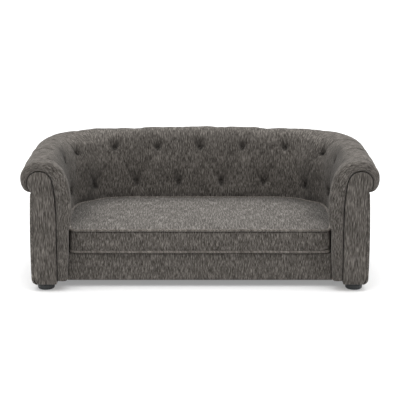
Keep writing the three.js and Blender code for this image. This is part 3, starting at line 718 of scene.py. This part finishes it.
def padding_piece():
    """The arms' and the back's padding in one closed piece: its grid, a hidden back and two ends."""
    grid, distances, v, shade, lead = build_padding()
    rows, columns = grid.shape[:2]
    vertices = list(grid.reshape(-1, 3))
    faces = grid_faces(rows, columns)
    at = lambda j, i: (j % rows) * columns + i % columns

    uv_u = lengths_along(grid[:, columns // 2])
    uv_v = np.pad(v, ((lead, lead), (0, 0)), mode="edge")
    uv = list(pairs(np.repeat(uv_u[:, None], columns, axis=1), uv_v).reshape(-1, 2))

    def add(distance, n, z, pair):
        vertices.append(tub_points(distance, n, z))
        uv.append(pair)
        return len(vertices) - 1

    first, last = lead + TUNNEL_ROW, rows - 1 - lead - TUNNEL_ROW
    backs = []
    for j in range(first, last + 1):
        d = distances[j - lead]
        low_z = BAND_BOTTOM if min(j, rows - 1 - j) < lead + len(FRONT_ROWS) else BASE_Z
        low_corner = add(d, FOAM_BACK, low_z, (uv_u[j], -0.3))
        backs.append((low_corner, add(d, FOAM_BACK, OUTSIDE_TOP, (uv_u[j], 0.3))))
    for j, (a, b) in zip(range(first, last), zip(backs, backs[1:])):
        faces += [(at(j, 0), at(j + 1, 0), b[0], a[0]), (a[0], b[0], b[1], a[1]),
                  (a[1], b[1], at(j + 1, -1), at(j, -1))]
    for end, row, ring in ((0, first, backs[0]), (rows - 1, last, backs[-1])):
        step = 1 if end == 0 else -1
        faces.append([at(end, i) for i in range(columns)] + [at(row, -1), ring[1], ring[0], at(row, 0)])
        for i in (0, columns - 1):
            faces.append([at(j, i) for j in range(end, row + step, step)])
    piece = make_piece("tufted_padding", vertices, faces, fabric, uv)
    paint_shade(piece.data, np.pad(shade.ravel(), (0, len(vertices) - shade.size)))
    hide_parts("left_arm_padding", "back_padding", "right_arm_padding")
    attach(piece, "sofa_frame")


padding_piece()

# ---- Upholstered panels ----

PANEL_ROUND = 3.5 * MM
PANEL_SHRINK = 1 * MM  # leaves a groove between the facing and the padding's rim
PANEL_CORNER = 16 * MM  # the outer lower corner's width
CORNER_RISE = 18 * MM  # and its height
INNER_CORNER = 3 * MM
PANEL_FULLNESS = 1.8 * MM
PANEL_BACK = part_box("left_arm_front_panel")[1].y
EDGE_ROUND = 16 * MM  # where the outside covers turn under the base
WRAP = 1 * MM  # the covering's thickness there
OUTSIDE_FULLNESS = 1.6 * MM
FRONT_THICKENING = 3.2 * MM
OUTSIDE_EASE = 2 * MM  # how far the outer face starts below the layer's top
TOP_DRAW = 1.8 * MM  # how far the face is drawn in under the roll
SEAM = 0.4 * MM
RAIL_REACH = 1 * MM  # how far each end stands past its CAD cover
RAIL_ROUND = 5 * MM
RAIL_END_ROUND = 0.7 * MM
RAIL_FULLNESS = 1.2 * MM
RAIL_STEPS = 766  # its length in the steps that place its rings, which lie closer at its ends


def arm_front_panel(side):
    """A scroll-shaped facing with a rounded edge and a slightly full face, built as rings that close
    towards a line up its middle."""
    scroll = resample(scroll_outline(-PANEL_SHRINK), np.linspace(0, 1, 170))
    side_n = scroll[-1, 0]
    foot = scroll[0, 1]
    inner_centre = (scroll[0, 0] + INNER_CORNER, foot + INNER_CORNER)
    outer_corner = arc((side_n - PANEL_CORNER, 0), PANEL_CORNER, 0, -90, 15)
    outer_corner[:, 1] = foot + CORNER_RISE * (1 + outer_corner[:, 1] / PANEL_CORNER)
    up = np.linspace(scroll[-1, 1], foot + CORNER_RISE, 60)[1:-1]
    outline = np.concatenate([
        arc(inner_centre, INNER_CORNER, -90, -180, 5),
        scroll[scroll[:, 1] > foot + INNER_CORNER],
        pairs(np.full(len(up), side_n), up),
        outer_corner,
    ])
    spine_z = np.clip(outline[:, 1], foot + 33 * MM, 324 * MM)
    spine = pairs(-14 * MM + 15 * MM * rising(spine_z, 230 * MM, 90 * MM), spine_z)
    reach = np.linalg.norm(outline - spine, axis=1).mean()
    rings = [(0, PANEL_BACK), (0, FRONT_Y + PANEL_ROUND)]
    for a in np.radians(np.linspace(0, 90, 8)[1:]):
        rings.append((PANEL_ROUND * (1 - math.cos(a)) / reach, FRONT_Y + PANEL_ROUND * (1 - math.sin(a))))
    for share in np.linspace(0.25, 0.98, 9):
        rings.append((share, FRONT_Y - PANEL_FULLNESS * smooth(share * 1.1)))
    vertices = []
    for share, y in rings:
        ring = outline + (spine - outline) * share
        uneven = ripple(ring[:, 0], ring[:, 1], 70 * MM, 11) * 0.5 * MM * smooth(share * 3)
        vertices += [(side * (ROLL_LINE_X + n), y + bump, z) for (n, z), bump in zip(ring, uneven)]
    name = "left" if side < 0 else "right"
    uv = [(x, z) for x, y, z in vertices]
    faces = tube_faces(len(rings), len(outline))
    piece = make_piece(f"{name}_arm_facing", vertices, faces, facing_fabric, uv)
    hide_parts(f"{name}_arm_front_panel")
    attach(piece, "sofa_frame")


def swept_pad(name, distances, section):
    """A padded layer swept along the tub line. section gives a closed ring of [outwards, z] pairs at a
    distance, from that and a share of the layer's fullness, from 0 at an end to 1 away from it."""
    ends = np.minimum(distances - distances[0], distances[-1] - distances)
    flat = np.array([section(d, smooth(end / (4 * MM)) ** 0.5) for d, end in zip(distances, ends)])
    rows, columns = flat.shape[:2]
    vertices = tub_points(distances[:, None], flat[..., 0], flat[..., 1]).reshape(-1, 3)
    u = np.repeat(distances, columns)
    v = np.tile(lengths_along(flat[rows // 2]), rows)
    return make_piece(name, vertices, tube_faces(rows, columns), fabric, pairs(u, v))


def outside_section(distance, edge):
    """The outside layer's ring: up the hidden side, over the top, down the outer face and round under
    the base. edge draws the outer face in at the layer's ends. Beside an arm's front the layer is
    thicker, so that it meets the facing."""
    inner = OUTSIDE_INNER - FRONT_THICKENING * (1 - rising(from_front(distance), 18 * MM, 7 * MM))
    thinnest = inner + 1.5 * MM
    outer = thinnest + (OUTSIDE_FACE - thinnest) * edge
    centre = (outer - EDGE_ROUND, FOOT_HEIGHT + EDGE_ROUND)
    drop = np.linspace(0, 1, 24)
    top = OUTSIDE_TOP - OUTSIDE_EASE
    full = OUTSIDE_FULLNESS * np.sin(math.pi * drop) ** 0.7 - TOP_DRAW * np.clip(1 - 2 * drop, 0, 1) * edge
    face = pairs(outer + full * edge, top + (centre[1] - top) * drop)
    under = arc(centre, EDGE_ROUND, 0, -90, 9)[1:]
    turn = -math.degrees(math.acos((inner - centre[0]) / (EDGE_ROUND - WRAP)))
    inside = arc(centre, EDGE_ROUND - WRAP, -90, turn, 7)
    return np.concatenate([inside, [[inner, OUTSIDE_TOP], [inner + 1 * MM, OUTSIDE_TOP]], face, under])


def outside_panels():
    """The three outside covers, with a fine seam between them."""
    arm_front, back_end = 1.5 * MM, 2 * HALF_LENGTH - BACK_START
    close = np.array([0, 0.4, 1, 2, 3, 4.5]) * MM
    runs = {
        "left_outside_arm_panel": (arm_front, BACK_START - SEAM),
        "outside_back_panel": (BACK_START + SEAM, back_end - SEAM),
        "right_outside_arm_panel": (back_end + SEAM, 2 * HALF_LENGTH - arm_front),
    }
    for node, (start, end) in runs.items():
        inside = np.linspace(start + 8 * MM, end - 8 * MM, 90)
        distances = np.concatenate([start + close, inside, end - close[::-1]])
        piece = swept_pad(node.replace("panel", "cover"), distances, outside_section)
        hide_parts(node)
        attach(piece, "sofa_frame")


def rail_cover():
    """The padded front rail: a long soft-edged board cover, a little fuller along its middle."""
    cover_low, cover_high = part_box("front_rail_cover")
    start, end = cover_low.x - RAIL_REACH, cover_high.x + RAIL_REACH
    close = np.array([0, 1, 2.5, 5, 9]) / RAIL_STEPS
    middle = np.linspace(14, RAIL_STEPS - 14, 94) / RAIL_STEPS
    x = start + (end - start) * np.concatenate([close, middle, 1 - close[::-1]])
    back, front, foot, top = cover_high.y, cover_low.y, cover_low.z, cover_high.z
    rings = []
    for px, share in zip(x, smooth(np.minimum(x - start, end - x) / (4 * MM)) ** 0.5):
        draw_in = RAIL_END_ROUND * (1 - share)
        z = np.linspace(foot + RAIL_ROUND, top - RAIL_ROUND, 16)
        full = RAIL_FULLNESS * np.sin(math.pi * np.linspace(0, 1, 16)) ** 0.6 * share
        uneven = 0.5 * MM * ripple(np.full(16, px), z, 90 * MM, 8)
        face = pairs(front - full + uneven * share + draw_in, z)
        under = arc((front + RAIL_ROUND, foot + RAIL_ROUND), RAIL_ROUND, 270, 180, 7)[:-1] + [draw_in, 0]
        over = arc((front + RAIL_ROUND, top - RAIL_ROUND), RAIL_ROUND, 180, 90, 7)[1:] + [draw_in, 0]
        rings.append(np.concatenate([[[back, foot]], under, face, over, [[back, top]]]))
    rings = np.array(rings)
    rows, columns = rings.shape[:2]
    px = np.repeat(x[:, None], columns, axis=1)
    widen = BAND_TAPER * np.clip((BASE_Z - rings[..., 1]) / (BASE_Z - BAND_BOTTOM), 0, 1)
    px = px + np.sign(px) * widen * rising(np.abs(px), 300 * MM, 80 * MM)
    vertices = np.stack([px, rings[..., 0], rings[..., 1]], axis=-1).reshape(-1, 3)
    faces = tube_faces(rows, columns)
    piece = make_piece("front_rail_padding", vertices, faces, fabric, vertices[:, [0, 2]])
    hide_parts("front_rail_cover")
    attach(piece, "sofa_frame")


for side in (-1, 1):
    arm_front_panel(side)
outside_panels()
rail_cover()

# ---- Seat cushion ----

CUSHION_GAP = 7 * MM
CUSHION_CORNER = 20 * MM
SIDE_FULLNESS = 4.2 * MM  # how far the pad stands past its CAD cover's front and sides
ZIP_ROOM = 0.3 * MM  # how far it stays inside the cover at the rear, where the zip lies
PAD_CHAMFER = 8 * MM
PIPING_RADIUS = 4.1 * MM
PIPING_STAND_OFF = 2.6 * MM
PIPING_SIDES = 12
VOXEL = 5.5 * MM

SIM_FRAMES = 20
SIM_PRESSURE = 4.0
SEAM_DEPTH, SEAM_WIDTH = mm(9, 5)  # the held strip at the pad's edges, down and in
REST_DEPTH = 6 * MM  # held too, at the bottom
BORDER_DEPTH = 7 * MM
CROWN_CAP, BORDER_CAP, REAR_CAP = mm(10, 4, 0.1)  # how far each part moves at most

# Painted shade and light on the cushion's cloth: how much darker or lighter it is, as a share.
WALL_SHADE = 0.48
PIPING_SHADE = 0.6
CORNER_LIGHT = 0.8

cushion_low, cushion_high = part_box("cushion_cover")


def cushion_outline(inset, points):
    """The cushion's plan outline, pulled in by an inset: from the front left corner round the back to
    the front right corner, and not closed."""
    start = cushion_low.y - FRONT_Y + CUSHION_CORNER
    distance = np.linspace(start, 2 * HALF_LENGTH - start, points)
    side = tub_points(distance, -inner_inset(distance) - CUSHION_GAP - inset, 0)[:, :2]
    x, y, radius = side[-1, 0], cushion_low.y + inset, CUSHION_CORNER - inset
    corner = arc((x - radius, y + radius), radius, 0, -90, 14)[1:]
    return np.concatenate([(corner * [-1, 1])[::-1], side, corner])


def distance_to_outline(points, outline):
    """Each point's distance in plan from the closed outline."""
    a, b = outline, np.roll(outline, -1, axis=0)
    d = b - a
    t = ((points[:, None] - a) * d).sum(-1) / (d * d).sum(-1)
    near = a + d * np.clip(t, 0, 1)[..., None]
    return np.linalg.norm(points[:, None] - near, axis=-1).min(axis=1)


def coordinates(mesh):
    values = np.zeros(len(mesh.vertices) * 3)
    mesh.vertices.foreach_get("co", values)
    return values.reshape(-1, 3)


def inflate(piece, pinned, cap):
    """Blows a piece up by a short cloth simulation, with some points held and each point's move capped."""
    group = piece.vertex_groups.new(name="seam")
    for index in np.nonzero(pinned)[0]:
        group.add([int(index)], 1.0, "REPLACE")
    cloth = piece.modifiers.new("cloth", "CLOTH")
    cloth.settings.use_pressure = True
    cloth.settings.uniform_pressure_force = SIM_PRESSURE
    cloth.settings.effector_weights.gravity = 0
    cloth.settings.vertex_group_mass = "seam"
    cloth.point_cache.frame_end = SIM_FRAMES
    for step in range(1, SIM_FRAMES + 1):
        bpy.context.scene.frame_set(step)
    rest = coordinates(piece.data)
    settled = piece.evaluated_get(bpy.context.evaluated_depsgraph_get())
    move = coordinates(settled.data) - rest
    length = np.linalg.norm(move, axis=1, keepdims=True)
    move *= cap * np.tanh(length / cap) / np.maximum(length, 1e-9)
    piece.modifiers.remove(cloth)
    piece.data.vertices.foreach_set("co", (rest + move).ravel())
    bpy.context.scene.frame_set(1)


def apply_modifiers(piece):
    settled = piece.evaluated_get(bpy.context.evaluated_depsgraph_get())
    piece.data = bpy.data.meshes.new_from_object(settled)
    piece.modifiers.clear()


def at_rear(y):
    """1 along the cushion's rear border, where the zip lies on the cover, and 0 away from it."""
    return rising(y, cushion_high.y - 70 * MM, 50 * MM)


def padded_outline(inset):
    """The cushion's plan outline, with its rear kept just inside the CAD cover's."""
    outline, flat = cushion_outline(inset, 120), cushion_outline(inset + SIDE_FULLNESS + ZIP_ROOM, 120)
    return outline + (flat - outline) * at_rear(outline[:, 1:])


def cushion_block():
    """The cushion's closed block with chamfered edges. The rear edges are squarer, so that the foam
    stays covered."""
    side, face = padded_outline(-SIDE_FULLNESS), padded_outline(PAD_CHAMFER - SIDE_FULLNESS)
    sharper = 0.65 * at_rear(side[:, 1])
    face = face + (side - face) * sharper[:, None]
    bottom, top = cushion_low.z + 0.5 * MM, cushion_high.z - 0.5 * MM
    rise = PAD_CHAMFER * (1 - sharper)
    vertices = []
    for outline, heights in ((face, bottom), (side, bottom + rise), (side, top - rise), (face, top)):
        vertices += [(x, y, z) for (x, y), z in zip(outline, np.broadcast_to(heights, len(side)))]
    return vertices, tube_faces(4, len(side))


def corner_light(co):
    """The cushion's front corners are painted lighter where they turn beside the arms' bands, against the
    shade that falls there.
    """
    out = rising(np.abs(co[:, 0]), cushion_high.x - 30 * MM, 16 * MM)
    return CORNER_LIGHT * out * falling(co[:, 1], cushion_low.y + 60 * MM, 30 * MM)


def pad_shade(co):
    """Painted shade beside the wall, a painted shadow line under the top piping, and painted light at the
    front corners.
    """
    edge = distance_to_outline(co[:, :2], cushion_outline(-SIDE_FULLNESS, 90))
    below_top = cushion_high.z - co[:, 2]
    on_top = below_top < (cushion_high.z - cushion_low.z) / 2
    from_rail = rising(co[:, 1], cushion_low.y + 30 * MM, 110 * MM)
    beside_wall = WALL_SHADE * (1 - rising(edge, 0, 125 * MM)) * from_rail * on_top
    under_piping = PIPING_SHADE * bell(below_top - 8.5 * MM, 2.2 * MM) * (edge < 9 * MM)
    return np.maximum(beside_wall, under_piping) - corner_light(co) * (below_top > 7 * MM)


def map_by_direction(mesh):
    """Lays each face's UV flat along the axis it faces most, and gives the upward ones the second material,
    the tweed copy painted lighter for faces lit from above."""
    layer = mesh.uv_layers.new(name="UVMap")
    for face in mesh.polygons:
        face.material_index = 1 if face.normal.z > 0.7 else 0
        axis = max(range(3), key=lambda k: abs(face.normal[k]) * (1.2 if k == 2 else 1))
        first, second = {0: (1, 2), 1: (0, 2), 2: (0, 1)}[axis]
        for loop in face.loop_indices:
            place = mesh.vertices[mesh.loops[loop].vertex_index].co
            layer.data[loop].uv = (place[first], place[second])


def cushion_pad():
    """The seat cushion: a block, remeshed and blown up between its piped seams."""
    pad = make_piece("seat_cushion_pad", *cushion_block(), fabric)
    remesh = pad.modifiers.new("remesh", "REMESH")
    remesh.mode = "VOXEL"
    remesh.voxel_size = VOXEL
    apply_modifiers(pad)
    co = coordinates(pad.data)
    edge = distance_to_outline(co[:, :2], cushion_outline(2 * MM - SIDE_FULLNESS, 90))
    from_middle = np.abs(co[:, 2] - (cushion_low.z + cushion_high.z) / 2)
    near_face = from_middle > (cushion_high.z - cushion_low.z) / 2 - SEAM_DEPTH
    held = near_face & (edge < SEAM_WIDTH) | (co[:, 2] < cushion_low.z + REST_DEPTH)
    border_cap = BORDER_CAP + (REAR_CAP - BORDER_CAP) * at_rear(co[:, 1])
    inflate(pad, held, np.where(edge < BORDER_DEPTH, border_cap, CROWN_CAP)[:, None])
    pad.modifiers.new("smooth", "SUBSURF").levels = 1
    apply_modifiers(pad)
    pad.data.polygons.foreach_set("use_smooth", [True] * len(pad.data.polygons))
    # the lit copy for the upward faces: painted light
    pad.data.materials.append(lit_top_tweed)
    paint_shade(pad.data, pad_shade(coordinates(pad.data)))
    map_by_direction(pad.data)
    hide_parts("cushion_cover")
    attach(pad, "seat_cushion")


def cushion_piping(name, lift, seed):
    """A covered cord round the cushion's edge, with a slight waver, at its CAD node's middle height or a
    lift above it."""
    node_low, node_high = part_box(f"cushion_{name}")
    path = cushion_outline(-PIPING_STAND_OFF, 300)
    path = resample(np.concatenate([path, path[:1]]), np.linspace(0, 1, 520, endpoint=False))
    tangent = unit(np.roll(path, -1, axis=0) - np.roll(path, 1, axis=0))
    out = pairs(-tangent[:, 1], tangent[:, 0])
    u = np.arange(len(path)) / len(path)
    waver = sum(np.sin(2 * math.pi * k * u + seed * k) / k**0.5 for k in (5, 9, 14, 23)) * 0.3 * MM
    angles = np.linspace(0, 2 * math.pi, PIPING_SIDES, endpoint=False)
    across = np.cos(angles)[None] * PIPING_RADIUS + waver[:, None]
    plan = path[:, None] + out[:, None] * across[..., None]
    height = (node_low.z + node_high.z) / 2 + lift
    height = height + np.sin(angles)[None] * PIPING_RADIUS + np.roll(waver, 40)[:, None]
    vertices = np.concatenate([plan, height[..., None]], axis=-1).reshape(-1, 3)
    faces = grid_faces(len(path) + 1, PIPING_SIDES, closed=True)
    faces = [tuple(i % len(vertices) for i in face) for face in faces]
    length = lengths_along(path)[-1]
    uv_u = np.repeat(np.minimum(u, 1 - u) * length, PIPING_SIDES)
    uv_v = np.tile(np.abs(angles - math.pi) * PIPING_RADIUS, len(path))
    piece = make_piece(name, vertices, faces, bias_fabric, pairs(uv_u, uv_v))
    # Painted light at the cords' front corners, as on the pad.
    paint_shade(piece.data, -corner_light(coordinates(piece.data)))
    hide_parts(f"cushion_{name}")
    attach(piece, "seat_cushion")


cushion_pad()
cushion_piping("top_piping", 0, seed=1.3)
cushion_piping("bottom_piping", 0.8 * MM, seed=2.1)

# ---- Buttons and feet ----

BUTTON_RADIUS = 7.5 * MM
BUTTON_HEIGHT = 6 * MM
BUTTON_EDGE = 1.2 * MM
FOOT_ROUND = 6 * MM


def lathe(name, profile, material, sides):
    """A closed turned piece about +Z from [radius, z] pairs that start and end on the axis."""
    angles = np.linspace(0, 2 * math.pi, sides, endpoint=False)
    rim = np.array(profile[1:-1])
    ring = pairs(np.cos(angles), np.sin(angles))
    vertices = [(0, 0, profile[0][1]), (0, 0, profile[-1][1])]
    vertices += [(r * c, r * s, z) for r, z in rim for c, s in ring]
    faces = [tuple(k + 2 for k in face) for face in grid_faces(len(rim), sides, closed=True)]
    last = 2 + (len(rim) - 1) * sides
    for i in range(sides):
        k = (i + 1) % sides
        faces += [(0, 2 + k, 2 + i), (1, last + i, last + k)]
    uv = [(0, 0), (0, 0)] + [(a * r, z) for r, z in rim for a in angles]
    return make_piece(name, vertices, faces, material, uv)


def tuft_button(node, distance, z):
    """A small fabric-covered dome, turned to face the way the skin does where it is pulled in."""
    bend = np.radians(np.linspace(0, 90, 9))[:-1]
    edge_r = BUTTON_RADIUS * np.cos(bend) ** 0.8
    edge_z = BUTTON_EDGE + (BUTTON_HEIGHT - BUTTON_EDGE) * np.sin(bend)
    profile = [(0, 0), (BUTTON_RADIUS * 0.8, 0), *zip(edge_r, edge_z), (0, BUTTON_HEIGHT)]
    button = lathe(node.replace("tuft_", "") + "_cover", profile, fabric, 24)
    skin = skin_section(distance)
    length = section_length_above_bend(distance, z) + FACE_BEND_Z - BASE_Z
    places = [length - 1 * MM, length, length + 1 * MM]
    low_n, here_n, high_n = np.interp(places, lengths_along(skin), skin[:, 0])
    low_z, here_z, high_z = np.interp(places, lengths_along(skin), skin[:, 1])
    point = Vector(tub_points(distance, here_n, here_z))
    upward = Vector(tub_points(distance, high_n, high_z) - tub_points(distance, low_n, low_z)).normalized()
    sideways = Vector(tub_points(distance, 0, z) - tub_points(distance, 1 * MM, z))
    normal = (sideways - upward * sideways.dot(upward)).normalized()
    button.rotation_euler = normal.to_track_quat("Z", "Y").to_euler()
    button.location = point - normal * TUFT_DEPTH
    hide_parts(node)
    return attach(button, "sofa_frame")


def foot(node):
    """A turned plastic foot with a soft lower edge and a shallow step under its top."""
    foot_low, foot_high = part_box(node)
    radius, height = (foot_high.x - foot_low.x) / 2, foot_high.z
    lower = arc((radius - FOOT_ROUND, FOOT_ROUND), FOOT_ROUND, -90, 0, 9)
    profile = [(0, 0.6 * MM), (radius - 9 * MM, 0.6 * MM), (radius - 8 * MM, 0), *map(tuple, lower)]
    profile += [(radius, 14 * MM), (radius - 0.8 * MM, 14.6 * MM), (radius - 0.8 * MM, 16 * MM)]
    profile += [(radius, 16.6 * MM), (radius, height - 0.6 * MM), (radius - 0.6 * MM, height), (0, height)]
    piece = lathe(f"{node}_cap", profile, foot_plastic, 64)
    piece.data.set_sharp_from_angle(angle=math.radians(40))
    piece.location = ((foot_low.x + foot_high.x) / 2, (foot_low.y + foot_high.y) / 2, 0)
    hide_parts(node)
    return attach(piece, "sofa_frame")


for row, places, z in (("upper", UPPER_TUFTS, UPPER_TUFT_Z), ("lower", LOWER_TUFTS, LOWER_TUFT_Z)):
    for i, place in enumerate(both_sides(places)):
        tuft_button(f"{row}_tuft_button_{i + 1:02d}", HALF_LENGTH + place, z)
for node in ("left_front_foot", "right_front_foot", "left_rear_foot", "right_rear_foot"):
    foot(node)

# ---- Frame pieces that keep their CAD shape ----

KEPT = {
    timber: ["arm_top_rail", "rear_post", "front_corner_block", "rear_corner_block", "side_rail"],
    plywood: ["arm_front_board"],
    bolt_steel: ["front_foot_bolt", "rear_foot_bolt"],
}
for material, names in KEPT.items():
    for name in names:
        for side in ("left", "right"):
            NODES[f"{side}_{name}"].data.materials[0] = material
SINGLE = {
    "back_top_rail": timber, "back_rail": timber, "front_rail": timber, "seat_deck": lining,
    "dust_cover": dust_cloth, "cushion_foam": foam, "cushion_zip_tape": zip_tape,
    "zip_slider": zip_metal, "zip_pull": zip_metal,
}
for name, material in SINGLE.items():
    NODES[name].data.materials[0] = material

# ---- Floor and light ----

FLOOR_REACH = 150  # far enough for its edge to lie on the horizon
FLOOR_ALBEDO = 0.62
FLOOR_GLOW = 0.28  # the floor is a lit table, so shadows on it stay light
SKY_ZENITH = 4.2
SKY_HORIZON = 0.25
SKY_FOCUS = 3.0

floor_mesh = bpy.data.meshes.new("floor")
floor_corners = [(FLOOR_REACH * x, FLOOR_REACH * y, 0) for x, y in ((-1, -1), (1, -1), (1, 1), (-1, 1))]
floor_mesh.from_pydata(floor_corners, [], [(0, 1, 2, 3)])
floor_material = plain("floor_paint", (FLOOR_ALBEDO,) * 3, 0.9, grain=(3, 3, 3), contrast=0.01)
floor_shader = floor_material.node_tree.nodes["Principled BSDF"]
floor_shader.inputs["Emission Color"].default_value = (1, 1, 1, 1)
floor_shader.inputs["Emission Strength"].default_value = FLOOR_GLOW
floor = new_object("floor", floor_mesh, floor_material)


def studio_sky():
    """A soft dome, brightest overhead."""
    world = bpy.data.worlds.new("studio")
    n = Nodes(world)
    split = n.add("SeparateXYZ", {0: n.add("TexCoord").outputs["Generated"]})
    glow = n.math("POWER", n.math("MAXIMUM", split.outputs[2], 0.0), SKY_FOCUS)
    glow = n.math("ADD", n.math("MULTIPLY", glow, SKY_ZENITH - SKY_HORIZON), SKY_HORIZON)
    n.set(n.tree.nodes["Background"], {"Color": (1, 1, 1, 1), "Strength": glow})
    return world


scene = bpy.context.scene
scene.world = studio_sky()
scene.view_settings.view_transform = "Standard"
